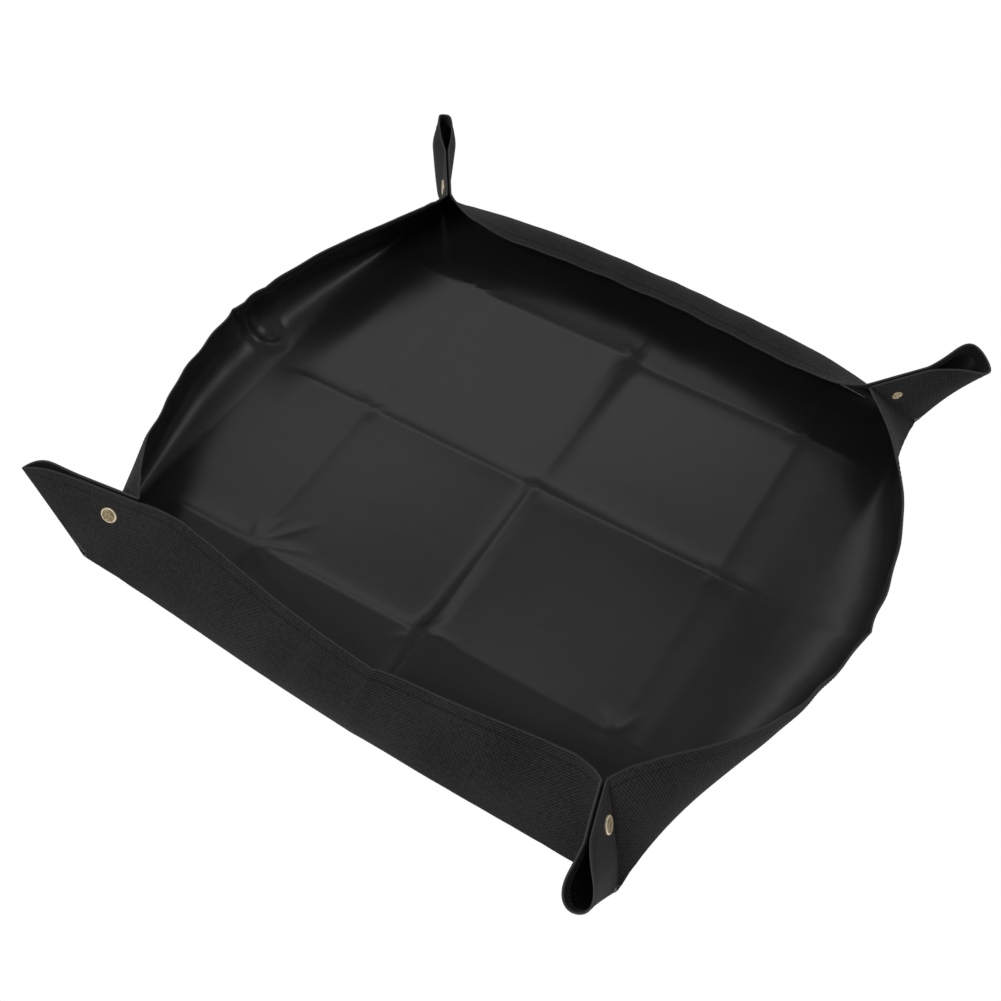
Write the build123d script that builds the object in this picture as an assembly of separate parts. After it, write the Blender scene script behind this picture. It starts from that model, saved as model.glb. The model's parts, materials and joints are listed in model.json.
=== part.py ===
from build123d import *
import os
from math import acos, atan2, cos, degrees, hypot, radians, sin, sqrt

# A repotting mat: one hemmed square of cloth lined with film, folded up into a shallow tray.
# Every panel is drawn flat on the mat and then turned up about its fold, as the real mat is.
# Millimetres, +Z up, origin under the middle of the floor, front wall towards -Y.

# The flat mat
MAT_SIDE = 680.0
WALL_WIDTH = 75.0
CORNER_RADIUS = 43.0
CLOTH = 0.6
FILM = 0.4
HEM_WIDTH = 10.0
HEM = 0.6

# How the corners are pinched: the hem is drawn in along each wall, and each ear hangs to one side
HEM_GATHER = 40.0
EAR_SWING_DEG = {"front_left": 37.0, "front_right": 32.0, "back_right": 2.0, "back_left": 9.0}
LEAF_SPACE = 3.0

# Clearances at the folds
CLOTH_FOLD_GAP = 0.65
FILM_FOLD_GAP = 1.4
SPINE_GAP = 0.5
CORNER_RELIEF = 4.0
BEAD_SHORT = 1.0

# Snaps
SNAP_UP_RAY = 54.0
SNAP_OFF_RAY = 11.0
CAP_RADIUS = 7.25
CAP_DOME = 1.5
CAP_EDGE = 0.8
RIVET_RADIUS = 1.6
RIVET_REACH = 0.8
SOCKET_RADIUS = 5.2
SOCKET_HEIGHT = 2.0
SOCKET_PLATE = 0.6
SOCKET_EDGE = 0.5
STUD_RADIUS = 4.8
STUD_FLANGE = 0.6
KNOB_RADIUS = 2.0
KNOB_NECK = 1.75
KNOB_NECK_HEIGHT = 0.4
KNOB_HEIGHT = 1.3
KNOB_EDGE = 0.4
POST_RADIUS = 4.8
POST_FLANGE = 0.5
POST_TUBE_RADIUS = 1.3
POST_TIP = 0.5
METAL_FIT = 0.1
KNOB_FIT = 0.3
SHEET_HOLE_FIT = 0.2

# Derived sizes
MAT_HALF = MAT_SIDE / 2
FLOOR_HALF = MAT_HALF - WALL_WIDTH
SHEET = CLOTH + FILM
AXIS_HEIGHT = CLOTH / 2
RAY_LENGTH = hypot(WALL_WIDTH, HEM_GATHER)
RAY_TILT = atan2(HEM_GATHER, WALL_WIDTH)
RAY_RISE = sqrt(1 - 2 * sin(RAY_TILT) ** 2)
WALL_TURN = 90 + degrees(atan2(sin(RAY_TILT), RAY_RISE))
EAR_TURN = degrees(acos(RAY_RISE / (sqrt(2) * cos(RAY_TILT))))
LEAF_OFFSET = LEAF_SPACE + 2 * (SHEET - AXIS_HEIGHT)

WALLS = ("front", "right", "back", "left")
CORNERS = tuple(EAR_SWING_DEG)

FOLD = Axis((0, -FLOOR_HALF, AXIS_HEIGHT), (1, 0, 0))
SIDE_FOLD = Axis((-FLOOR_HALF, 0, AXIS_HEIGHT), (0, 1, 0))
DIAGONAL = Plane(origin=(0, 0, 0), x_dir=(0, 0, 1), z_dir=(1, -1, 0))

MAT = RectangleRounded(MAT_SIDE, MAT_SIDE, CORNER_RADIUS)
HEM_INSIDE = MAT_SIDE - 2 * HEM_WIDTH
HEM_BAND = MAT - RectangleRounded(HEM_INSIDE, HEM_INSIDE, CORNER_RADIUS - HEM_WIDTH)


def ray_foot(corner):
    """How far from the floor's corner a wall's end starts, so that the leaves lie LEAF_SPACE apart."""
    return LEAF_OFFSET / (sqrt(2) * cos(radians(EAR_SWING_DEG[corner])))


def ray_x(corner, y, gap):
    """The x of a wall's start edge at y on the flat mat, set off sideways by gap."""
    along = HEM_GATHER * (-FLOOR_HALF - y) / WALL_WIDTH
    return -FLOOR_HALF + ray_foot(corner) + along + gap / cos(RAY_TILT)


def turned(shape, index):
    """The shape moved round to the given corner or wall, counted from the front left."""
    return shape.rotate(Axis.Z, 90 * index)


def layer(face, low, thickness):
    """A flat layer of the sheet."""
    return extrude(Pos(0, 0, low) * face, thickness, dir=(0, 0, 1))


def bead(start, end):
    """The round edge of the cloth that lies on a fold's axis."""
    run = end - start
    shaft = Cylinder(CLOTH / 2, run.length, align=(Align.CENTER, Align.CENTER, Align.MIN))
    return Plane(origin=start, z_dir=run).location * shaft


def wall_face(index, top, gap, outline):
    """A wall on the flat mat, from y = top out to the hem, gap short of its end folds."""
    start, end = CORNERS[index], CORNERS[(index + 1) % 4]
    corners = [
        (ray_x(start, top, gap), top),
        (ray_x(start, -MAT_HALF, gap), -MAT_HALF),
        (-ray_x(end, -MAT_HALF, gap), -MAT_HALF),
        (-ray_x(end, top, gap), top),
    ]
    return Polygon(*corners, align=None) & outline


def leaf_face(corner, gap, outline):
    """An ear's cap leaf on the flat mat, from the wall's end fold across to the spine."""
    top = -FLOOR_HALF - CORNER_RELIEF
    spine = sqrt(2) * SPINE_GAP
    corners = [
        (ray_x(corner, top, -gap), top),
        (ray_x(corner, -MAT_HALF, -gap), -MAT_HALF),
        (-MAT_HALF + spine, -MAT_HALF),
        (top + spine, top),
    ]
    return Polygon(*corners, align=None) & outline


def ray_axis(corner):
    """The fold between a wall's start and the ear's cap leaf, on the flat mat."""
    foot = (-FLOOR_HALF + ray_foot(corner), -FLOOR_HALF, AXIS_HEIGHT)
    return Axis(foot, (HEM_GATHER, -WALL_WIDTH, 0))


def fold_cap_leaf(shape, corner):
    """Turns a flat cap leaf, or what is on it, up into the ear."""
    bent = shape.rotate(ray_axis(corner), EAR_TURN - EAR_SWING_DEG[corner])
    return turned(bent.rotate(FOLD, -WALL_TURN), CORNERS.index(corner))


def fold_stud_leaf(shape, corner):
    """Turns a flat stud leaf, drawn as a cap leaf's mirror image, up into the ear."""
    ray = ray_axis(corner)
    start, run = ray.position, ray.direction
    mirrored = Axis((start.Y, start.X, start.Z), (run.Y, run.X, run.Z))
    bent = mirror(shape, about=DIAGONAL).rotate(mirrored, -EAR_TURN - EAR_SWING_DEG[corner])
    return turned(bent.rotate(SIDE_FOLD, WALL_TURN), CORNERS.index(corner))


def floor_layers():
    """The floor's cloth and film."""
    cloth_side = 2 * (FLOOR_HALF - CLOTH_FOLD_GAP)
    film_side = 2 * (FLOOR_HALF - FILM_FOLD_GAP)
    cloth = layer(Rectangle(cloth_side, cloth_side), 0, CLOTH)
    film = layer(Rectangle(film_side, film_side), CLOTH, FILM)
    return {"floor_cloth": cloth, "floor_film": film}


def wall_layers(index):
    """One wall's cloth, film and hem, turned up about the floor's edge."""
    start, end = CORNERS[index], CORNERS[(index + 1) % 4]
    cloth = layer(wall_face(index, -FLOOR_HALF, CLOTH_FOLD_GAP, MAT), 0, CLOTH)
    low = Vector(ray_x(start, -FLOOR_HALF, CLOTH_FOLD_GAP), -FLOOR_HALF, AXIS_HEIGHT)
    high = Vector(-ray_x(end, -FLOOR_HALF, CLOTH_FOLD_GAP), -FLOOR_HALF, AXIS_HEIGHT)
    film_face = wall_face(index, -FLOOR_HALF - FILM_FOLD_GAP, CLOTH_FOLD_GAP, MAT)
    hem_face = wall_face(index, -FLOOR_HALF, CLOTH_FOLD_GAP, HEM_BAND)
    flat = {
        "cloth": cloth + bead(low, high),
        "film": layer(film_face, CLOTH, FILM),
        "hem": layer(hem_face, SHEET, HEM),
    }
    name = WALLS[index] + "_wall_"
    return {name + part: turned(s.rotate(FOLD, -WALL_TURN), index) for part, s in flat.items()}


def leaf_layers(corner):
    """One leaf's cloth, film and hem, still flat."""
    ray = ray_axis(corner)
    low = ray.position + ray.direction * (CORNER_RELIEF + BEAD_SHORT)
    high = ray.position + ray.direction * (RAY_LENGTH - BEAD_SHORT)
    return {
        "cloth": layer(leaf_face(corner, 0, MAT), 0, CLOTH) + bead(low, high),
        "film": layer(leaf_face(corner, CLOTH_FOLD_GAP, MAT), CLOTH, FILM),
        "hem": layer(leaf_face(corner, CLOTH_FOLD_GAP, HEM_BAND), SHEET, HEM),
    }


def disc(radius, low, high):
    """A round disc between two heights."""
    return Pos(0, 0, low) * Cylinder(radius, high - low, align=(Align.CENTER, Align.CENTER, Align.MIN))


def rounded(solid, edge, size):
    """The solid with its lowest or highest rim rounded."""
    rims = solid.edges().filter_by(GeomType.CIRCLE).sort_by(Axis.Z)
    return fillet(rims[0] if edge == "low" else rims[-1], size)


def snap_pieces():
    """The four metal pieces of a snap, stacked along Z through both leaves.

    The cap leaf's cloth is at the bottom, from 0, and the stud leaf's cloth at the top.
    """
    socket_low = SHEET
    socket_high = socket_low + SOCKET_HEIGHT
    stud_seat = SHEET + LEAF_SPACE
    post_seat = stud_seat + SHEET
    stud_low = stud_seat - STUD_FLANGE
    knob_low = stud_low - KNOB_HEIGHT
    neck_low = stud_low - KNOB_NECK_HEIGHT

    rivet_high = socket_low + RIVET_REACH
    cap = rounded(disc(CAP_RADIUS, -CAP_DOME, 0), "low", CAP_EDGE) + disc(RIVET_RADIUS, 0, rivet_high)

    socket = rounded(disc(SOCKET_RADIUS, socket_low, socket_high), "high", SOCKET_EDGE)
    socket -= disc(RIVET_RADIUS + METAL_FIT, socket_low, socket_high)
    socket -= disc(KNOB_RADIUS + KNOB_FIT, socket_low + SOCKET_PLATE, socket_high)

    knob = rounded(disc(KNOB_RADIUS, knob_low, neck_low), "low", KNOB_EDGE)
    tube_low = knob_low + POST_TIP
    stud = disc(STUD_RADIUS, stud_low, stud_seat) + disc(KNOB_NECK, neck_low, stud_low) + knob
    stud -= disc(POST_TUBE_RADIUS + METAL_FIT, tube_low, stud_seat)

    tube = disc(POST_TUBE_RADIUS, tube_low + METAL_FIT, post_seat)
    post = rounded(disc(POST_RADIUS, post_seat, post_seat + POST_FLANGE), "high", POST_FLANGE / 2) + tube
    hole = disc(RIVET_RADIUS + SHEET_HOLE_FIT, -CAP_DOME, post_seat + POST_FLANGE)
    return {"cap": cap, "socket": socket, "stud": stud, "post": post}, hole


def ear_nodes(corner):
    """Both leaves of one ear and its snap."""
    ray = ray_axis(corner)
    side = Vector(ray.direction.Y, -ray.direction.X, 0)
    seat = ray.position + ray.direction * SNAP_UP_RAY + side * SNAP_OFF_RAY
    place = Pos(seat.X, seat.Y, 0)
    pieces, hole = snap_pieces()
    through = fold_cap_leaf(place * hole, corner)
    nodes = {f"{corner}_{part}": fold_cap_leaf(place * s, corner) for part, s in pieces.items()}
    for part, flat in leaf_layers(corner).items():
        nodes[f"{corner}_cap_leaf_{part}"] = fold_cap_leaf(flat, corner) - through
        nodes[f"{corner}_stud_leaf_{part}"] = fold_stud_leaf(flat, corner) - through
    return nodes


nodes = floor_layers()
for index, corner in enumerate(CORNERS):
    nodes.update(wall_layers(index))
    nodes.update(ear_nodes(corner))

os.makedirs("parts", exist_ok=True)
for name, shape in nodes.items():
    export_step(shape, f"parts/{name}.step")

print("nodes", len(nodes), "wall turn", round(WALL_TURN, 3), "ear turn", round(EAR_TURN, 3))
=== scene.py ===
import json
from functools import partial
from math import acos, atan2, cos, degrees, pi, radians, sin, sqrt, tan

import bpy
import bmesh
import numpy as np
from mathutils import Matrix, Vector

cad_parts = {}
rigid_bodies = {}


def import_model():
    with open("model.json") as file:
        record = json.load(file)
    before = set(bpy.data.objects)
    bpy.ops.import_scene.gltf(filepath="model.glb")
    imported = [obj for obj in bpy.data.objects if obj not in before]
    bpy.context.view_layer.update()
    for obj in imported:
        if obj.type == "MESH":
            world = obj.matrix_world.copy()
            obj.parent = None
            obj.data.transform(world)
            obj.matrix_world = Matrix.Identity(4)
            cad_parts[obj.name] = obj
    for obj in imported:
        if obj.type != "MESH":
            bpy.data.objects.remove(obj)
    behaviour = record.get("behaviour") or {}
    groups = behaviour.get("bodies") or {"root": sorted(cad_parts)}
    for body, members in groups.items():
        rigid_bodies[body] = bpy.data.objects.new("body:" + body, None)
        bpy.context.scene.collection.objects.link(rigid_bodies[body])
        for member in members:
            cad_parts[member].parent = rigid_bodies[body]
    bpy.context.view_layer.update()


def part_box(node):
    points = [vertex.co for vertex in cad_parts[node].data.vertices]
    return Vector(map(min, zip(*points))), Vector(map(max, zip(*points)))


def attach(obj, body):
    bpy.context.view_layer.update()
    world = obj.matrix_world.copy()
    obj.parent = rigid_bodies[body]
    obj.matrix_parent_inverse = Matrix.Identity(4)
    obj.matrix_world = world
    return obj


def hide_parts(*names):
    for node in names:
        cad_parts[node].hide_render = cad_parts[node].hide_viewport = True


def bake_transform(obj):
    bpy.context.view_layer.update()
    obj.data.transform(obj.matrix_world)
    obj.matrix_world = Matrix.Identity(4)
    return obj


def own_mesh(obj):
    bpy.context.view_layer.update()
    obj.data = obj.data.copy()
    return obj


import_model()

# The mat. One square of black woven cloth with a waterproof film laid on its inner face, hemmed all round.
# It is worked out flat, in millimetres from its middle, and every point of it is then carried to where the
# folds, the pinched corners and its own weight put it in the standing tray.
MM = 0.001
FLOOR_HALF = 265.0
WALL_WIDTH = 75.0
MAT_HALF = FLOOR_HALF + WALL_WIDTH
CORNER_RADIUS = 43.0
FOLD_HEIGHT = 0.3

# The floor of the tray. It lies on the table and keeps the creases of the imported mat, not quite in line
# with the walls. A crease is a small ridge, steep on one side, that can turn over where it crosses another.
# Its heights are before and after the middle crossing, and a minus puts the steep side to the front or the
# left. Fine wrinkles run out from the crossings, each with its direction, length and height.
CREASE_MIDDLE = (17.7, 5.3)
CREASE_TURN = radians(2.0)
CREASE_PITCH = 176.0
RIDGE_SIDES = (42.0, 7.0)
OUTER_RIDGE_SIDES = (84.0, 34.0)
RIDGE_JOIN = 14.0
LENGTHWISE_RIDGES = {-1: (2.6, -8.0), 0: (2.7, 3.9), 1: (6.5, -2.8)}
CROSSWISE_RIDGES = {-1: (0.9, 0.7), 0: (-3.2, 1.3), 1: (0.6, 1.0)}
WRINKLE_WIDTH = 3.8
WRINKLE_STARTS = 0.2
WRINKLE_FADES = 0.25
WRINKLES = {
    (-1, -1): ((20, 62, 1.5), (52, 74, 1.3), (78, 52, 1.2), (112, 40, 1.0), (330, 36, 1.0)),
    (0, -1): ((118, 34, 1.0), (146, 24, 0.9), (62, 26, 0.9), (8, 40, 0.8), (214, 36, 1.0), (262, 30, 0.8)),
    (1, -1): ((70, 36, 1.0), (140, 32, 1.1), (200, 28, 0.9)),
    (-1, 0): ((35, 24, 0.8), (150, 28, 0.8), (300, 20, 0.7)),
    (0, 0): ((40, 16, 0.9), (128, 15, 0.9), (222, 18, 0.8), (310, 15, 0.9)),
    (1, 0): ((38, 22, 0.9), (140, 24, 0.8), (250, 22, 0.8), (330, 34, 1.0)),
    (-1, 1): ((25, 30, 1.1), (100, 26, 1.0), (160, 30, 1.0)),
    (0, 1): ((60, 22, 0.8), (120, 24, 0.8), (230, 16, 0.6), (310, 16, 0.6)),
    (1, 1): ((60, 30, 0.8), (200, 26, 0.8)),
}
BILLOW = 0.9
EDGE_FADE = 45.0


def ease(value, low, high):
    """0 below low, 1 above high, and a smooth climb between them."""
    t = np.clip((value - low) / (high - low), 0, 1)
    return t * t * (3 - 2 * t)


def crease_frame(u, v):
    """Points of the flat mat measured along the two middle creases."""
    x, y = u - CREASE_MIDDLE[0], v - CREASE_MIDDLE[1]
    across = x * cos(CREASE_TURN) + y * sin(CREASE_TURN)
    along = y * cos(CREASE_TURN) - x * sin(CREASE_TURN)
    return across, along


def ridge_profile(off, height, row):
    """A ridge's height at a distance off it; an outer one can fall slowly all the way to the wall."""
    gentle, steep = OUTER_RIDGE_SIDES if row * height > 0 else RIDGE_SIDES
    width = np.where(off * height > 0, steep, gentle)
    return abs(height) * np.exp(-np.abs(off) / width)


def ridge(off, along, heights, row):
    """A crease's height at a distance off it, changing over at the middle crossing."""
    before, after = (ridge_profile(off, height, row) for height in heights)
    return before + (after - before) * ease(along, -RIDGE_JOIN, RIDGE_JOIN)


def wrinkle(x, y, angle, length, height):
    """A short wrinkle that runs out from a crossing and dies away."""
    turn = radians(angle)
    along = x * cos(turn) + y * sin(turn)
    off = y * cos(turn) - x * sin(turn)
    fade = ease(along, 0, WRINKLE_STARTS * length) * (1 - ease(along, WRINKLE_FADES * length, length))
    return height * fade * np.exp(-np.abs(off) / WRINKLE_WIDTH)


def floor_relief(u, v):
    """How high the creased floor stands at points of the flat mat."""
    across, along = crease_frame(u, v)
    height = np.zeros_like(u)
    for row in (-1, 0, 1):
        height += ridge(along - row * CREASE_PITCH, across, LENGTHWISE_RIDGES[row], row)
        height += ridge(across - row * CREASE_PITCH, along, CROSSWISE_RIDGES[row], 0)
    for (column, row), wrinkles in WRINKLES.items():
        x, y = across - column * CREASE_PITCH, along - row * CREASE_PITCH
        for angle, length, rise in wrinkles:
            height += wrinkle(x, y, angle, length, rise)
    swell = np.sin(pi * across / CREASE_PITCH) * np.sin(pi * along / CREASE_PITCH)
    height += BILLOW * (1 + swell)
    inside = FLOOR_HALF - np.maximum(np.abs(u), np.abs(v))
    return height * ease(inside, 0, EDGE_FADE)


# The walls. The outer strip of the mat on each side, turned up off the table, with its ends drawn in
# towards the hem. Only the pinched corners hold it, so in between it sags: the right wall falls outward, the
# left one leans, and the front and back ones roll in. Angles are from lying flat outward, at the foot and at
# the hem of the middle of each wall. The spreads say how wide the sag is towards the wall's start and end.
WALLS = ("front", "right", "back", "left")
HEM_GATHER = 40.0
RAY_TILT = atan2(HEM_GATHER, WALL_WIDTH)
RAY_RISE = sqrt(1 - 2 * sin(RAY_TILT) ** 2)
WALL_TURN = 90 + degrees(atan2(sin(RAY_TILT), RAY_RISE))
EAR_SWING = {"front_left": 37.0, "front_right": 32.0, "back_right": 2.0, "back_left": 9.0}
CORNERS = tuple(EAR_SWING)
LEAF_APART = 4.4
WALL_FOOT_ANGLE = {"front": 60.0, "right": 0.2, "back": 15.0, "left": 70.0}
WALL_HEM_ANGLE = {"front": 152.0, "right": 78.6, "back": 190.0, "left": 78.0}
WALL_CURL = {"front": 1.64, "right": 0.64, "back": 1.6, "left": 1.05}
FOOT_SPREAD = {"front": (1.27, 0.6), "right": (1.9, 1.5), "back": (2.85, 2.2), "left": (0.6, 5.0)}
HEM_SPREAD = {"front": (9.0, 8.5), "right": (0.58, 0.95), "back": (5.0, 5.0), "left": (0.6, 0.6)}
PROFILE_STEPS = 32
FOOT_BEND = {"front": 11.9, "right": 59.5, "back": 16.0, "left": 52.0}
BEND_SPREAD = 0.8
LEAST_BEND = 0.01
WAVE_HEIGHT = 0.7
WAVE_LENGTHS = (43.0, 71.0, 127.0)
CREASE_STAND = {"front": 5.5, "right": 1.2, "back": 1.5, "left": 1.0}
CREASE_REACH = {"front": (2.5, 26.0), "right": (9.0, 9.0), "back": (9.0, 9.0), "left": (9.0, 9.0)}


def ray_foot(corner):
    """How far from the floor's corner a wall's end starts."""
    return LEAF_APART / (sqrt(2) * cos(radians(EAR_SWING[corner])))


def wall_ends(index, out):
    """Where a wall starts and ends along its length, at a distance out from the floor's edge."""
    drawn_in = HEM_GATHER * out / WALL_WIDTH
    start = -FLOOR_HALF + ray_foot(CORNERS[index]) + drawn_in
    end = FLOOR_HALF - ray_foot(CORNERS[(index + 1) % 4]) - drawn_in
    return start, end


def crease_along(index, out):
    """Where the middle crease of the mat runs on a wall, along the wall."""
    x, y = CREASE_MIDDLE
    return (x, y, -x, -y)[index] + tan(CREASE_TURN) * (FLOOR_HALF + out)


# The left wall also has a dent, pressed outward from inside the tray, with a lip round its lower side.
DENT_MIDDLE = (-18.0, 50.0)
DENT_SIZE = (17.0, 35.0)
DENT_DEPTH = 6.5
LIP_HEIGHT = 1.2
LIP_PLACE = 1.1
LIP_WIDTH = 0.16
LIP_FADE = (-0.7, 0.3)


def dent(along, out):
    """How far the dent pushes the left wall outward."""
    across = (along - DENT_MIDDLE[0]) / DENT_SIZE[0]
    up = (out - DENT_MIDDLE[1]) / DENT_SIZE[1]
    near = across**2 + up**2
    lip = np.exp(-(((np.sqrt(near) - LIP_PLACE) / LIP_WIDTH) ** 2)) * (1 - ease(up, *LIP_FADE))
    return DENT_DEPTH * np.clip(1 - near, 0, 1) - LIP_HEIGHT * lip


def wall_place(index, along, out):
    """Points of a wall in the standing tray, for the wall taken as the front one."""
    name = WALLS[index]
    start, end = wall_ends(index, out)
    middle = crease_along(index, out)
    side = (along >= middle).astype(int)
    reach = np.where(side, (along - middle) / (end - middle), (middle - along) / (middle - start))
    reach = np.clip(reach, 0, 1)
    foot_share = 1 - reach ** np.take(FOOT_SPREAD[name], side)
    hem_share = 1 - reach ** np.take(HEM_SPREAD[name], side)
    foot_angle = WALL_TURN + foot_share * (WALL_FOOT_ANGLE[name] - WALL_TURN)
    hem_angle = WALL_TURN + hem_share * (WALL_HEM_ANGLE[name] - WALL_TURN)

    steps = (np.arange(PROFILE_STEPS) + 0.5) / PROFILE_STEPS
    up = out[:, None] * steps
    curl = 1 - np.clip(1 - up / WALL_WIDTH, 0, 1) ** WALL_CURL[name]
    angle = foot_angle[:, None] + (hem_angle - foot_angle)[:, None] * curl
    bend = FOOT_BEND[name] * ease(1 - reach, 0, BEND_SPREAD)
    angle = np.radians(angle * np.clip((up + LEAST_BEND) / (bend[:, None] + LEAST_BEND), 0, 1))
    outward = out * np.cos(angle).mean(axis=1)
    height = out * np.sin(angle).mean(axis=1)

    wave = sum(np.sin(2 * pi * along / length + index + length) for length in WAVE_LENGTHS)
    push = WAVE_HEIGHT * wave * foot_share * (out / WALL_WIDTH) ** 2
    crease = np.exp(-np.abs(along - middle) / np.take(CREASE_REACH[name], side))
    push = push + CREASE_STAND[name] * crease * ease(out, 0, WALL_WIDTH)
    if name == "left":
        push = push + dent(along, out)
    last = angle[:, -1]
    outward = outward + push * np.sin(last)
    height = height - push * np.cos(last)
    return np.stack([along, -FLOOR_HALF - outward, FOLD_HEIGHT + height], axis=1)


# The ears. At each corner the spare cloth is pinched flat, film to film, into two leaves joined along a
# spine, and one snap holds it. The ear hangs to one side, and its end springs open in a loop, which draws
# it in.
EAR_TURN = degrees(acos(RAY_RISE / (sqrt(2) * cos(RAY_TILT))))
SPINE_LENGTH = sqrt(2) * (WALL_WIDTH - CORNER_RADIUS) + CORNER_RADIUS
SPINE_REACH = 26.0
PAST_SPINE = 1.2
LOOP_OPENING = {"front_left": 4.0, "front_right": 11.0, "back_right": 17.0, "back_left": 13.0}
LOOP_RISE = {"front_left": 1.6, "front_right": 1.3, "back_right": 1.6, "back_left": 0.6}
LOOP_CLOSING = {"front_left": 0.0, "front_right": 0.0, "back_right": 0.0, "back_left": 0.6}
LOOP_CLOSES = (0.65, 1.0)
LOOP_REACH = 46.0
LOOP_SPREAD = (1.2, 3.2)
EAR_SHORTENING = {"front_left": 0.0, "front_right": 12.0, "back_right": 0.0, "back_left": 0.0}
SHORTENING_RISE = 1.5
SHORTENING_REACH = 80.0
FOOT_BLEND = 3.0


def quarter_turn(index):
    """The turn from the front wall, or the front left corner, round to another one."""
    return Matrix.Rotation(index * pi / 2, 4, "Z")


def turn_about(origin, axis, angle):
    """A turn in degrees about a line."""
    spot = Matrix.Translation(origin)
    return spot @ Matrix.Rotation(radians(angle), 4, Vector(axis)) @ spot.inverted()


def carried(matrix, points):
    """Points moved by a matrix."""
    moved = np.array(matrix)
    return points @ moved[:3, :3].T + moved[:3, 3]


def leaf_fold(corner, kind):
    """How a leaf is carried from the flat mat into the ear."""
    index = CORNERS.index(corner)
    foot = -FLOOR_HALF + ray_foot(corner)
    swing = EAR_SWING[corner]
    if kind == "cap":
        hinge, ray = (foot, -FLOOR_HALF, FOLD_HEIGHT), (HEM_GATHER, -WALL_WIDTH, 0)
        pinch = turn_about(hinge, ray, EAR_TURN - swing)
        rise = turn_about((0, -FLOOR_HALF, FOLD_HEIGHT), (1, 0, 0), -WALL_TURN)
    else:
        hinge, ray = (-FLOOR_HALF, foot, FOLD_HEIGHT), (-WALL_WIDTH, HEM_GATHER, 0)
        pinch = turn_about(hinge, ray, -EAR_TURN - swing)
        rise = turn_about((-FLOOR_HALF, 0, FOLD_HEIGHT), (0, 1, 0), WALL_TURN)
    return quarter_turn(index) @ rise @ pinch @ quarter_turn(-index)


LEAF_FOLDS = {(corner, kind): leaf_fold(corner, kind) for corner in CORNERS for kind in ("cap", "stud")}


def leaf_place(corner, kind, flat):
    """Points of a leaf in the standing tray."""
    index = CORNERS.index(corner)
    outward = np.array(quarter_turn(index) @ Vector((-1, -1, 0)).normalized())
    floor_corner = np.array(quarter_turn(index) @ Vector((-FLOOR_HALF, -FLOOR_HALF, FOLD_HEIGHT)))
    up_spine = (flat - floor_corner) @ outward
    on_spine = floor_corner + up_spine[:, None] * outward
    off_spine = np.linalg.norm(flat - on_spine, axis=1)

    fold = LEAF_FOLDS[corner, kind]
    other_fold = LEAF_FOLDS[corner, "stud" if kind == "cap" else "cap"]
    apart = carried(other_fold, on_spine) - carried(fold, on_spine)
    closing = 1 - ease(off_spine, 0, SPINE_REACH)
    place = carried(fold, flat) + closing[:, None] * apart / 2

    share = np.clip(up_spine / SPINE_LENGTH, 0, PAST_SPINE)
    opening = LOOP_OPENING[corner] * share ** LOOP_RISE[corner]
    opening = opening * (1 - LOOP_CLOSING[corner] * ease(share, *LOOP_CLOSES))
    opening = opening * (1 - ease(off_spine / np.maximum(up_spine, 1e-3), *LOOP_SPREAD))
    loop = np.sin(pi * np.sqrt(np.clip(off_spine / LOOP_REACH, 0, 1)))
    cloth_side = -np.array(fold.to_3x3() @ Vector((0, 0, 1)))
    place = place + (opening * loop)[:, None] * cloth_side

    drawn_in = EAR_SHORTENING[corner] * share**SHORTENING_RISE
    drawn_in = drawn_in * (1 - ease(off_spine, 0, SHORTENING_REACH))
    place = place - drawn_in[:, None] * np.array(fold.to_3x3() @ Vector(outward))
    beyond = np.maximum(np.abs(flat[:, 0]), np.abs(flat[:, 1])) - FLOOR_HALF
    return flat + ease(beyond, 0, FOOT_BLEND)[:, None] * (place - flat)


def tray_place(u, v):
    """Points of the flat mat in the standing tray, in millimetres."""
    flat = np.stack([u, v, np.full_like(u, FOLD_HEIGHT)], axis=1)
    place = flat.copy()
    place[:, 2] += floor_relief(u, v)
    for index in range(4):
        local = carried(quarter_turn(-index), flat)
        along, out = local[:, 0], -FLOOR_HALF - local[:, 1]
        mine = (out > 0) & (np.abs(along) <= out + FLOOR_HALF)
        start, end = wall_ends(index, out)
        wall = mine & (along >= start) & (along <= end)
        place[wall] = carried(quarter_turn(index), wall_place(index, along[wall], out[wall]))
        cap = mine & (along < start)
        place[cap] = leaf_place(CORNERS[index], "cap", flat[cap])
        stud = mine & (along > end)
        place[stud] = leaf_place(CORNERS[(index + 1) % 4], "stud", flat[stud])
    return place


# The outer cloth. A black canvas of coarse, slightly ribbed weave, dull, a little uneven from yarn to yarn.
# Its pattern follows the flat mat, so the threads run straight through every fold.
CLOTH_LOW, CLOTH_HIGH = -0.3, 0.3
CLOTH_DARK = (0.011, 0.011, 0.0115, 1)
CLOTH_LIGHT = (0.054, 0.053, 0.052, 1)
CLOTH_RIM = (0.085, 0.084, 0.083, 1)
WEAVE_PITCH = 1.9
WEAVE_BUMP = 0.3
RIB_SHARE = 0.45
YARN_WANDER = 0.6
YARN_UNEVEN = 0.5
PATCH_UNEVEN = 0.35
RIM_WIDTH = 1.0
STITCH_IN = 8.0
GROOVE_WIDTH = 0.7
# How far painted shade darkens the cloth in the groove under the stitches.
GROOVE_PAINTED_SHADE = 0.6
GROOVE_DEPTH = 1.5
NORMAL_STEP = 0.4
SHARP_EDGE = radians(50)


def tray_surface(u, v):
    """Points of the flat mat in the standing tray, and the way the film faces there."""
    run = tray_place(u + NORMAL_STEP, v) - tray_place(u - NORMAL_STEP, v)
    rise = tray_place(u, v + NORMAL_STEP) - tray_place(u, v - NORMAL_STEP)
    facing = np.cross(run, rise)
    facing /= np.maximum(np.linalg.norm(facing, axis=1), 1e-9)[:, None]
    return tray_place(u, v), facing


def new_piece(name, shape):
    """A smooth-shaded object made from a bmesh."""
    mesh = bpy.data.meshes.new(name)
    shape.to_mesh(mesh)
    shape.free()
    mesh.polygons.foreach_set("use_smooth", [True] * len(mesh.polygons))
    piece = bpy.data.objects.new(name, mesh)
    bpy.context.collection.objects.link(piece)
    return piece


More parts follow.
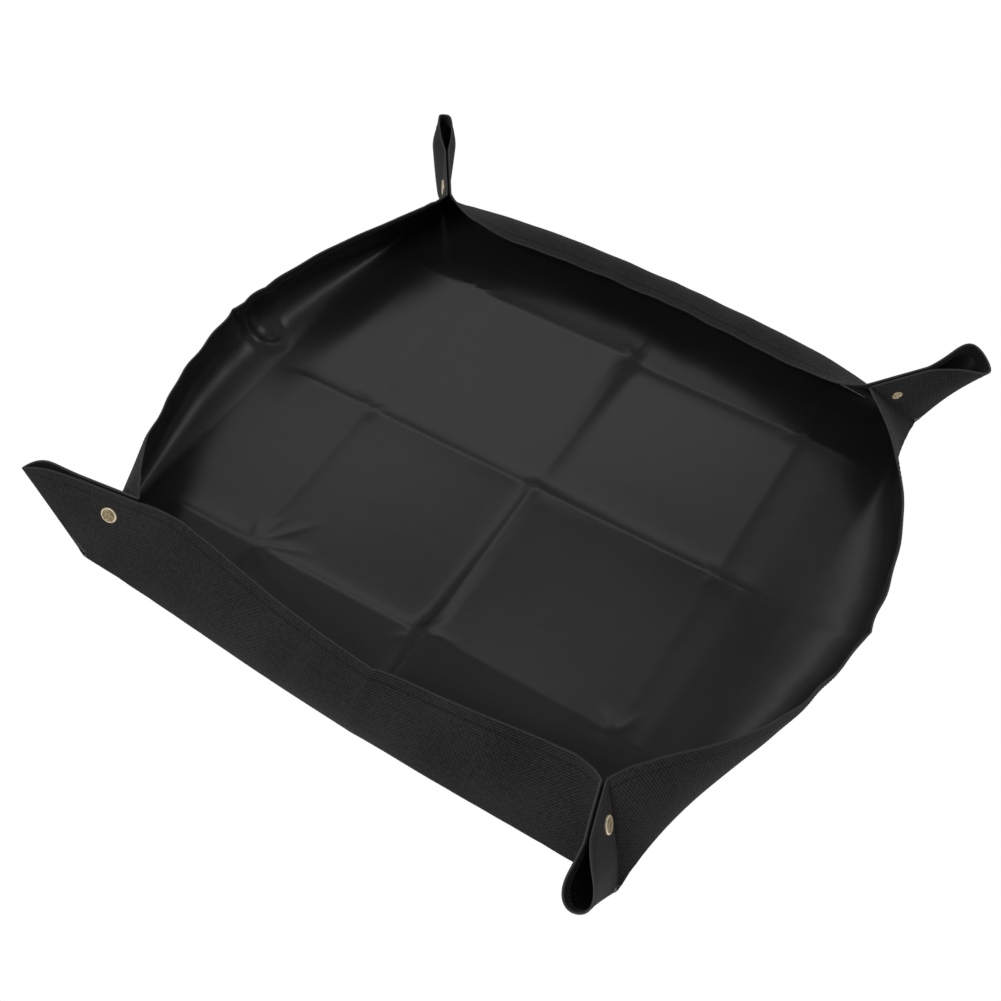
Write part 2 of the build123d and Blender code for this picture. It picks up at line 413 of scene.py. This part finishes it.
def layer(name, flat, low, high):
    """A closed thin layer of the mat over a grid of flat points, between two heights above the folds."""
    rows, columns = flat.shape[:2]
    shape = bmesh.new()
    for side in (0, 1):
        lift = Matrix.Translation((0, 0, side))
        bmesh.ops.create_grid(shape, x_segments=columns - 1, y_segments=rows - 1, size=1, matrix=lift)
    bmesh.ops.bridge_loops(shape, edges=[edge for edge in shape.edges if edge.is_boundary])

    place, facing = tray_surface(flat[..., 0].ravel(), flat[..., 1].ravel())
    heights = [np.broadcast_to(height, (rows,)).repeat(columns) for height in (low, high)]
    points = np.concatenate([place + height[:, None] * facing for height in heights]) * MM
    for vert, point in zip(shape.verts, points.tolist()):
        vert.co = point
    bmesh.ops.recalc_face_normals(shape, faces=shape.faces)
    piece = new_piece(name, shape)
    piece.data.set_sharp_from_angle(angle=SHARP_EDGE)

    chart = np.tile(flat.reshape(-1, 2), (2, 1)) / (2 * MAT_HALF) + 0.5
    corners = np.empty(len(piece.data.loops), dtype=np.int32)
    piece.data.loops.foreach_get("vertex_index", corners)
    uv_map = piece.data.uv_layers.new(name="mat")
    uv_map.data.foreach_set("uv", chart[corners].astype(np.float32).ravel())
    return piece


def new_material(name):
    """An empty material with its shader, and a short way to add nodes to it."""
    material = bpy.data.materials.new(name)
    material.use_nodes = True
    nodes, links = material.node_tree.nodes, material.node_tree.links
    shader = nodes["Principled BSDF"]

    def add(kind, inputs=(), **settings):
        node = nodes.new(kind)
        for key, value in settings.items():
            setattr(node, key, value)
        for key, value in dict(inputs).items():
            if isinstance(value, bpy.types.NodeSocket):
                links.new(value, node.inputs[key])
            else:
                node.inputs[key].default_value = value
        return node

    return material, shader, add, links


def two_tone(add, amount, low, high, dark, light):
    """A colour that goes from dark to light as an amount goes from low to high."""
    ramp = add("ShaderNodeValToRGB", {"Fac": amount})
    for stop, position, colour in zip(ramp.color_ramp.elements, (low, high), (dark, light)):
        stop.position = position
        stop.color = colour
    return ramp.outputs["Color"]


def edge_distance(add, chart):
    """The distance in from the mat's rounded edge, in millimetres, worked out on the flat mat."""
    side, inset = 2 * MAT_HALF, MAT_HALF - CORNER_RADIUS
    scale = {1: (side,) * 3, 2: (-MAT_HALF,) * 3}
    spot = add("ShaderNodeVectorMath", {0: chart, **scale}, operation="MULTIPLY_ADD").outputs[0]
    folded = add("ShaderNodeVectorMath", {0: spot}, operation="ABSOLUTE").outputs[0]
    start = (inset, inset, MAT_HALF)
    past = add("ShaderNodeVectorMath", {0: folded, 1: start}, operation="SUBTRACT").outputs[0]
    rounded = add("ShaderNodeVectorMath", {0: past, 1: (0, 0, 0)}, operation="MAXIMUM").outputs[0]
    curved = add("ShaderNodeVectorMath", {0: rounded}, operation="LENGTH").outputs["Value"]
    return add("ShaderNodeMath", {0: CORNER_RADIUS, 1: curved}, operation="SUBTRACT").outputs[0]


def woven(name, dark, light, rim, turn):
    """A ribbed weave on the flat mat: uneven yarns, a lighter edge and a groove under the stitches, darkened
    with painted shade.
    """
    material, shader, add, links = new_material(name)
    chart = add("ShaderNodeUVMap", uv_map="mat").outputs["UV"]
    threads = 2 * MAT_HALF / WEAVE_PITCH
    spacing = {"Scale": (threads, threads, 1), "Rotation": (0, 0, turn)}
    grid = add("ShaderNodeMapping", {"Vector": chart, **spacing}).outputs["Vector"]
    bands = {"Vector": grid, "Scale": 1 / pi, "Distortion": YARN_WANDER}
    warp = add("ShaderNodeTexWave", bands, bands_direction="X").outputs["Fac"]
    weft = add("ShaderNodeTexWave", bands, bands_direction="Y").outputs["Fac"]
    over = add("ShaderNodeTexChecker", {"Vector": grid, "Scale": 1.0}).outputs["Fac"]
    crossed = add("ShaderNodeMix", {0: over, 2: warp, 3: weft}).outputs[0]
    height = add("ShaderNodeMix", {0: RIB_SHARE, 2: crossed, 3: weft}).outputs[0]
    yarn = add("ShaderNodeTexNoise", {"Vector": grid, "Scale": 0.55, "Detail": 3.0}).outputs["Fac"]
    patch = add("ShaderNodeTexNoise", {"Vector": chart, "Scale": 9.0, "Detail": 4.0}).outputs["Fac"]
    shade = add("ShaderNodeMix", {0: YARN_UNEVEN, 2: height, 3: yarn}).outputs[0]
    shade = add("ShaderNodeMix", {0: PATCH_UNEVEN, 2: shade, 3: patch}).outputs[0]
    tone = two_tone(add, shade, 0.33, 0.67, dark, light)

    inward = edge_distance(add, chart)
    groove = {0: inward, 1: STITCH_IN, 2: GROOVE_WIDTH}
    on_seam = add("ShaderNodeMath", groove, operation="COMPARE").outputs[0]
    # Painted shade: the groove is darkened towards the dark yarn colour, on top of being sunk in the bump.
    painted_groove_shade = add("ShaderNodeMath", {0: on_seam, 1: GROOVE_PAINTED_SHADE}, operation="MULTIPLY").outputs[0]
    tone = add("ShaderNodeMix", {0: painted_groove_shade, 6: tone, 7: dark}, data_type="RGBA").outputs[2]
    edge = add("ShaderNodeMapRange", {"Value": inward, "From Min": RIM_WIDTH, "From Max": 0.0})
    tone = add("ShaderNodeMix", {0: edge.outputs["Result"], 6: tone, 7: rim}, data_type="RGBA").outputs[2]
    depth = {0: on_seam, 1: -GROOVE_DEPTH, 2: height}
    relief = add("ShaderNodeMath", depth, operation="MULTIPLY_ADD").outputs[0]
    bump = add("ShaderNodeBump", {"Height": relief, "Strength": 0.5, "Distance": WEAVE_BUMP * MM})
    links.new(tone, shader.inputs["Base Color"])
    links.new(bump.outputs["Normal"], shader.inputs["Normal"])
    shader.inputs["Roughness"].default_value = 0.85
    shader.inputs["Specular IOR Level"].default_value = 0.14
    shader.inputs["Sheen Weight"].default_value = 0.08
    return material


black_canvas = woven("black_canvas", CLOTH_DARK, CLOTH_LIGHT, CLOTH_RIM, 0.0)

# The liner film. A soft black coating welded to the cloth, smooth enough to shine along its bends, with
# fine crinkles from being folded.
FILM_LOW, FILM_HIGH = 0.3, 0.7
FILM_COLOUR = (0.014, 0.014, 0.0147, 1)
FILM_SCUFFED = (0.020, 0.020, 0.0208, 1)
CRINKLE_BUMP = 2.0
GRAIN_BUMP = 0.1

black_film, shader, add, links = new_material("black_film")
chart = add("ShaderNodeUVMap", uv_map="mat").outputs["UV"]
crinkle = add("ShaderNodeTexNoise", {"Vector": chart, "Scale": 26.0, "Detail": 5.0, "Roughness": 0.55})
scuff = add("ShaderNodeTexNoise", {"Vector": chart, "Scale": 5.0, "Detail": 6.0}).outputs["Fac"]
grain = add("ShaderNodeTexNoise", {"Vector": chart, "Scale": 900.0, "Detail": 2.0})
gloss = add("ShaderNodeMapRange", {"Value": scuff, "To Min": 0.28, "To Max": 0.36})
soft = {"Height": crinkle.outputs["Fac"], "Strength": 0.12, "Distance": CRINKLE_BUMP * MM}
soft = add("ShaderNodeBump", soft).outputs["Normal"]
fine = {"Height": grain.outputs["Fac"], "Strength": 0.35, "Distance": GRAIN_BUMP * MM, "Normal": soft}
fine = add("ShaderNodeBump", fine).outputs["Normal"]
links.new(two_tone(add, scuff, 0.35, 0.65, FILM_COLOUR, FILM_SCUFFED), shader.inputs["Base Color"])
links.new(gloss.outputs["Result"], shader.inputs["Roughness"])
links.new(fine, shader.inputs["Normal"])
shader.inputs["Specular IOR Level"].default_value = 0.5

# The hem. The cloth's own edge turned over onto the film and stitched down, so a narrow woven band with
# slanting ribs runs round the inside. It wraps the cut edge of both layers. Each step across it has its
# distance in from the edge and its lower and upper height.
HEM_TOP = 1.4
HEM_STEPS = (
    (10.0, FILM_HIGH, 1.2),
    (9.4, FILM_HIGH, HEM_TOP),
    (5.0, FILM_HIGH, HEM_TOP),
    (1.0, FILM_HIGH, HEM_TOP),
    (-0.3, 0.6, 0.9),
    (-0.5, -0.2, 0.2),
)
HEM_DARK = (0.006, 0.006, 0.0065, 1)
HEM_LIGHT = (0.020, 0.020, 0.020, 1)
HEM_SLANT = radians(38)
black_edging = woven("black_edging", HEM_DARK, HEM_LIGHT, CLOTH_RIM, HEM_SLANT)

# The thread of the hem. A black lock stitch that shows on both faces, sunk a little into the cloth. A
# stitch is a short round of thread, drawn thin where it enters the cloth.
STITCH_PITCH = 3.4
STITCH_LENGTH = 2.5
STITCH_RADIUS = 0.32
STITCH_PROFILE = ((0.0, 0.2), (0.2, 1.0), (0.8, 1.0), (1.0, 0.2))
STITCH_SIDES = 6
THREAD_DARK = (0.006, 0.006, 0.006, 1)
THREAD_LIGHT = (0.030, 0.030, 0.030, 1)

black_thread, shader, add, links = new_material("black_thread")
place = add("ShaderNodeTexCoord").outputs["Object"]
twist = add("ShaderNodeTexNoise", {"Vector": place, "Scale": 1500.0, "Detail": 2.0}).outputs["Fac"]
links.new(two_tone(add, twist, 0.0, 1.0, THREAD_DARK, THREAD_LIGHT), shader.inputs["Base Color"])
shader.inputs["Roughness"].default_value = 0.6


def stitch_shape():
    """The mesh of one stitch, along X from 0 to 1 and of radius 1."""
    shape = bmesh.new()
    line = [shape.verts.new((share, radius, 0)) for share, radius in STITCH_PROFILE]
    edges = [shape.edges.new(pair) for pair in zip(line, line[1:])]
    round_x = {"axis": (1, 0, 0), "cent": (0, 0, 0), "angle": 2 * pi}
    bmesh.ops.spin(shape, geom=line + edges, steps=STITCH_SIDES, use_merge=True, **round_x)
    bmesh.ops.holes_fill(shape, edges=[edge for edge in shape.edges if edge.is_boundary])
    bmesh.ops.recalc_face_normals(shape, faces=shape.faces)
    mesh = bpy.data.meshes.new("stitch")
    shape.to_mesh(mesh)
    shape.free()
    return mesh


one_stitch = stitch_shape()


def stitches(name, seam, heights):
    """Rows of stitches along a line of flat points, at heights above the fold surface."""
    walked = np.concatenate([[0], np.cumsum(np.linalg.norm(np.diff(seam, axis=0), axis=1))])
    begin = np.arange(STITCH_PITCH / 2, walked[-1] - STITCH_LENGTH, STITCH_PITCH)
    near, near_face = tray_surface(*(np.interp(begin, walked, axis) for axis in seam.T))
    far, far_face = tray_surface(*(np.interp(begin + STITCH_LENGTH, walked, axis) for axis in seam.T))
    shape = bmesh.new()
    for height in heights:
        for first, last, up in zip(near + height * near_face, far + height * far_face, near_face):
            side = np.cross(up, last - first)
            side *= STITCH_RADIUS / np.linalg.norm(side)
            columns = np.stack([last - first, side, STITCH_RADIUS * up, first], axis=1) * MM
            laid = one_stitch.copy()
            laid.transform(Matrix([*columns.tolist(), (0, 0, 0, 1)]))
            shape.from_mesh(laid)
            bpy.data.meshes.remove(laid)
    piece = new_piece(name, shape)
    piece.data.materials.append(black_thread)
    return piece


def dressed(piece, material, node, hold):
    """Gives a layer its material, hides the solid it stands in for and hands it to hold."""
    piece.data.materials.append(material)
    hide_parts(node)
    hold(piece)


def panel(name, tag, points, hold):
    """A panel's cloth and film, over a grid of flat points."""
    canvas = layer(f"{name}_canvas{tag}", points, CLOTH_LOW, CLOTH_HIGH)
    dressed(canvas, black_canvas, name + "_cloth", hold)
    liner = layer(f"{name}_liner{tag}", points, FILM_LOW, FILM_HIGH)
    dressed(liner, black_film, name + "_film", hold)


def hem(name, tag, points, seam, hold):
    """A panel's turned hem, over flat points at the hem's steps, and its stitches along the seam."""
    _, lows, highs = np.array(HEM_STEPS).T
    edging = layer(f"{name}_edging{tag}", points, lows, highs)
    dressed(edging, black_edging, name + "_hem", hold)
    thread = stitches(f"{name}_thread{tag}", seam, (HEM_TOP, CLOTH_LOW))
    hold(thread)


# The floor of the tray in its two layers. It is the fixed middle of the mat, which the walls fold about.
FLOOR_CELLS = 215


def stay(piece):
    """Keeps a piece with the floor."""
    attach(piece, "floor")


line = np.linspace(-FLOOR_HALF, FLOOR_HALF, FLOOR_CELLS + 1)
panel("floor", "", np.stack(np.meshgrid(line, line), axis=-1), stay)

# The four walls in their layers, with their hems. The front and back walls turn down in one piece with their
# bodies. The side walls sag so far that each is cut in parts, which stay where they are: the shares say how
# far each seam would turn with the wall and not with the floor, but nothing here reads them.
WALL_ROWS = 30
ROWS_TO_FOOT = 1.25
WALL_CELL = 4.0
SEAMS = (-210.0, -190.0, -150.0, 150.0, 190.0, 210.0)
WALL_SHARES = {
    "right": (0.995, 0.25, 0.18, 0.14, 0.145, 0.175, 0.245, 0.99),
    "left": (1.11, 0.34, 0.30, 0.19, 0.18, 0.19, 0.255, 1.01),
}


def part_ends(index, part, out):
    """Where a part of a wall starts and ends along it, at a distance out from the floor's edge."""
    start, end = wall_ends(index, out)
    if WALLS[index] not in WALL_SHARES:
        return start, end
    edges = (start, *SEAMS, end)
    return edges[part], edges[part + 1]


def wall_grid(index, part, outs):
    """Flat points of a part of a wall, at distances out from the floor's edge."""
    start, end = part_ends(index, part, 0.0)
    share = np.linspace(0, 1, round((end - start) / WALL_CELL) + 1)
    rows = []
    for out in outs:
        start, end = part_ends(index, part, out)
        along = start + share * (end - start)
        rows.append(np.stack([along, np.full_like(along, -FLOOR_HALF - out), np.zeros_like(along)], axis=1))
    return carried(quarter_turn(index), np.array(rows))[..., :2]


def press_flat(piece, index):
    """Lets a wall turn down with its body, on a mesh of its own."""
    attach(piece, WALLS[index] + "_wall")
    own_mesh(piece)


def unroll(piece, index, part):
    """Bakes the placing of a part of a side wall into its mesh, so that it stays where it is."""
    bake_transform(piece)


outs = WALL_WIDTH * np.linspace(0, 1, WALL_ROWS + 1) ** ROWS_TO_FOOT
hem_outs = [WALL_WIDTH - inset for inset, _, _ in HEM_STEPS]
for index, wall in enumerate(WALLS):
    sagging = wall in WALL_SHARES
    for part in range(len(SEAMS) + 1 if sagging else 1):
        tag = f"_{part + 1}" if sagging else ""
        hold = partial(unroll, index=index, part=part) if sagging else partial(press_flat, index=index)
        seam = wall_grid(index, part, [WALL_WIDTH - STITCH_IN])[0]
        panel(wall + "_wall", tag, wall_grid(index, part, outs), hold)
        hem(wall + "_wall", tag, wall_grid(index, part, hem_outs), seam, hold)

# The eight leaves of the ears in their layers, with their hems. Each turns about its wall's end with its
# body as it opens.
LEAF_COLUMNS = 44
COLUMNS_TO_SPINE = 1.6
LEAF_ROWS = 26


def leaf_edge(corner, inset, shares):
    """Flat points along the rim of a cap leaf, set in from the edge, from the wall's end to the spine."""
    centre = -MAT_HALF + CORNER_RADIUS
    start = -FLOOR_HALF + ray_foot(corner) + HEM_GATHER * (WALL_WIDTH - inset) / WALL_WIDTH
    straight = start - centre
    radius = CORNER_RADIUS - inset
    curve = CORNER_RADIUS * pi / 4
    bend = straight / (straight + curve)
    turn = -pi / 2 - np.clip((shares - bend) / (1 - bend), 0, 1) * pi / 4
    x = np.where(shares <= bend, start - shares / bend * straight, centre + radius * np.cos(turn))
    y = np.where(shares <= bend, -MAT_HALF + inset, centre + radius * np.sin(turn))
    return np.stack([x, y], axis=1)


def placed_leaf(corner, kind, points):
    """Flat points of a cap leaf moved to their corner, mirrored for a stud leaf."""
    if kind == "stud":
        points = points[..., ::-1]
    lifted = np.concatenate([points, np.zeros(points.shape[:-1] + (1,))], axis=-1)
    return carried(quarter_turn(CORNERS.index(corner)), lifted)[..., :2]


def open_out(piece, corner, kind, foot):
    """Lets a leaf turn with its body, on a mesh of its own. Its foot is not used."""
    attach(piece, f"{corner}_{kind}_leaf")
    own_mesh(piece)


shares = 1 - (1 - np.linspace(0, 1, LEAF_COLUMNS + 1)) ** COLUMNS_TO_SPINE
rise = np.linspace(0, 1, LEAF_ROWS + 1)[:, None, None]
for corner in CORNERS:
    rim = leaf_edge(corner, 0.0, shares)
    foot_x = -FLOOR_HALF + ray_foot(corner) * (1 - shares)
    foot = np.stack([foot_x, np.full_like(shares, -FLOOR_HALF)], axis=1)
    whole = foot + rise * (rim - foot)
    band = np.array([leaf_edge(corner, inset, shares) for inset, _, _ in HEM_STEPS])
    for kind in ("cap", "stud"):
        points = placed_leaf(corner, kind, whole)
        hold = partial(open_out, corner=corner, kind=kind, foot=points[0, 0])
        seam = placed_leaf(corner, kind, leaf_edge(corner, STITCH_IN, shares))
        panel(f"{corner}_{kind}_leaf", "", points, hold)
        hem(f"{corner}_{kind}_leaf", "", placed_leaf(corner, kind, band), seam, hold)

# The snaps. Stamped brass with a dark antique finish, rubbed bright on the high spots, and lightened round
# the rim by a painted highlight. A cap and its socket are riveted to one leaf, and a stud and its post to
# the other.
BRASS_DARK = (0.19, 0.135, 0.055, 1)
# The light brass colour serves both as the rubbed brass of the high spots and as the painted highlight on
# the rim.
BRASS_WORN_AND_HIGHLIT = (0.92, 0.82, 0.60, 1)
# The painted highlight round the rim: where it starts and where it is full, in millimetres from the middle,
# and how much it lightens the brass.
HIGHLIGHT_RIM_FROM, HIGHLIGHT_RIM_TO = 5.6, 6.6
RIM_HIGHLIGHT = 0.5
BRASS_BUMP = 0.2


def worn_brass_with_rim_highlight(name, middle):
    """The brass of one piece of a snap, worn in mottled spots, with a painted highlight towards the rim
    round its middle.
    """
    material, shader, add, links = new_material(name)
    place = add("ShaderNodeTexCoord").outputs["Object"]
    mottle = {"Vector": place, "Scale": 420.0, "Detail": 6.0, "Roughness": 0.65}
    mottle = add("ShaderNodeTexNoise", mottle).outputs["Fac"]
    away = add("ShaderNodeVectorMath", {0: place, 1: middle}, operation="DISTANCE").outputs["Value"]
    ends = {"From Min": HIGHLIGHT_RIM_FROM * MM, "From Max": HIGHLIGHT_RIM_TO * MM, "To Max": RIM_HIGHLIGHT}
    # Painted highlight: a ring at the rim is lightened, standing in for lamp light caught on the rounded
    # edge.
    rim = add("ShaderNodeMapRange", {"Value": away, **ends}).outputs["Result"]
    wear_and_highlight = add("ShaderNodeMath", {0: mottle, 1: rim}, operation="ADD").outputs[0]
    gloss = add("ShaderNodeMapRange", {"Value": wear_and_highlight, "To Min": 0.42, "To Max": 0.55})
    dents = add("ShaderNodeBump", {"Height": mottle, "Strength": 0.15, "Distance": BRASS_BUMP * MM})
    links.new(two_tone(add, wear_and_highlight, 0.38, 0.95, BRASS_DARK, BRASS_WORN_AND_HIGHLIT), shader.inputs["Base Color"])
    links.new(gloss.outputs["Result"], shader.inputs["Roughness"])
    links.new(dents.outputs["Normal"], shader.inputs["Normal"])
    shader.inputs["Metallic"].default_value = 1.0
    return material


for corner in CORNERS:
    for part in ("cap", "socket", "stud", "post"):
        piece = bpy.data.objects[f"{corner}_{part}"]
        lowest, highest = (Vector(end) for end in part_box(piece.name))
        piece.data.materials.clear()
        piece.data.materials.append(worn_brass_with_rim_highlight(f"brass_{piece.name}", (lowest + highest) / 2))

# The table under the tray. It is pale, and plain white where the camera sees it directly or in a gloss.
TABLE_HALF = 4.0
TABLE_DROP = 0.6
bpy.ops.mesh.primitive_plane_add(size=2 * TABLE_HALF, location=(0, 0, -TABLE_DROP * MM))
ground = bpy.context.object
ground.name = "ground"
white_table, shader, add, links = new_material("white_table")
shader.inputs["Base Color"].default_value = (0.75, 0.75, 0.75, 1)
shader.inputs["Roughness"].default_value = 0.9
rays = add("ShaderNodeLightPath").outputs
seen = rays["Is Camera Ray"]
for kind in ("Is Glossy Ray", "Is Transmission Ray"):
    seen = add("ShaderNodeMath", {0: seen, 1: rays[kind]}, operation="MAXIMUM").outputs[0]
white = add("ShaderNodeEmission", {"Color": (1, 1, 1, 1), "Strength": 1.0})
mixed = add("ShaderNodeMixShader", {0: seen, 1: shader.outputs["BSDF"], 2: white.outputs["Emission"]})
links.new(mixed.outputs["Shader"], white_table.node_tree.nodes["Material Output"].inputs["Surface"])
ground.data.materials.append(white_table)

# Soft studio light. A pale room, a broad lamp behind, the main one in front and a small one behind to the
# right. Each lamp has its place, its two sides and its power, and points at the middle of the tray.
ROOM_LIGHT = 0.22
LAMPS = {
    "lamp_behind": ((-0.7, 1.0, 1.3), (1.5, 0.6), 2.6),
    "lamp_front": ((-0.3, -1.6, 1.9), (0.8, 0.8), 17.0),
    "lamp_right": ((1.2, 1.3, 1.0), (0.7, 0.7), 3.2),
}
world = bpy.data.worlds.new("studio")
bpy.context.scene.world = world
world.use_nodes = True
world.node_tree.nodes["Background"].inputs["Color"].default_value = (1, 1, 1, 1)
world.node_tree.nodes["Background"].inputs["Strength"].default_value = ROOM_LIGHT
for name, (spot, sides, power) in LAMPS.items():
    data = bpy.data.lights.new(name, "AREA")
    data.shape = "RECTANGLE"
    data.size, data.size_y = sides
    data.energy = power
    lamp = bpy.data.objects.new(name, data)
    lamp.location = spot
    lamp.rotation_euler = (-Vector(spot)).to_track_quat("-Z", "Y").to_euler()
    bpy.context.collection.objects.link(lamp)

# The camera, from above the front right, as the photograph was taken.
CAMERA_SPOT = Vector((402.0, -626.3, 993.4)) * MM
CAMERA_TARGET = Vector((-1.6, -19.3, 0.0)) * MM
CAMERA_LENS = 50.5
CAMERA_SENSOR = 36.0
view_data = bpy.data.cameras.new("camera")
view_data.lens = CAMERA_LENS
view_data.sensor_width = CAMERA_SENSOR
camera = bpy.data.objects.new("camera", view_data)
camera.location = CAMERA_SPOT
camera.rotation_euler = (CAMERA_TARGET - CAMERA_SPOT).to_track_quat("-Z", "Y").to_euler()
bpy.context.collection.objects.link(camera)
bpy.context.scene.camera = camera
bpy.context.scene.view_settings.view_transform = "Standard"
